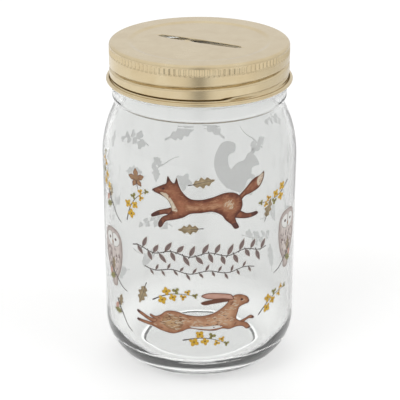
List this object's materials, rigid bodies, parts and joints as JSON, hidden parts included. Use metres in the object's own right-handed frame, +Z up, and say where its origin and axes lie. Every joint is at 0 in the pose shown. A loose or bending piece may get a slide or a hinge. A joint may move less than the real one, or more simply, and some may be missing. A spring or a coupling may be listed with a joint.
{
  "type": "coin bank jar",
  "caption": "Screw-top glass jar with a gold tinplate lid that has a coin slot and a knurled, threaded skirt.",
  "frame": {"origin": "middle of the base, in the plane the jar stands on", "axes": "+Z up along the jar's axis and out of its mouth, -Y towards the front of the print, +X to the right seen from the front"},
  "size_m": [0.08, 0.08, 0.1367],
  "materials": {
    "clear_glass": "clear pressed flint glass, fire polished",
    "gold_lacquer": "satin champagne-gold lacquer on tinplate",
    "sealing_compound": "matt off-white plastisol",
    "printed_enamel": "screen-printed enamel on a white underlay"
  },
  "bodies": {
    "jar_body": {"jar": "clear_glass"},
    "seal": {"liner_ring": "sealing_compound"},
    "lid": {"lid_shell": "gold_lacquer"}
  },
  "joints": [
    {"name": "lid_lift", "type": "slide", "parent": "jar_body", "child": "seal", "axis": [0, 0, 1], "range_m": [0, 0.02541]},
    {"name": "lid_turn", "type": "hinge", "parent": "seal", "child": "lid", "pos_m": [0, 0, 0.1], "axis": [0, 0, 1], "range_deg": [0, 1800]}
  ],
  "couplings": [
    {"joint": "lid_lift", "follows": "lid_turn", "m_per_rad": 0.00080851}
  ]
}
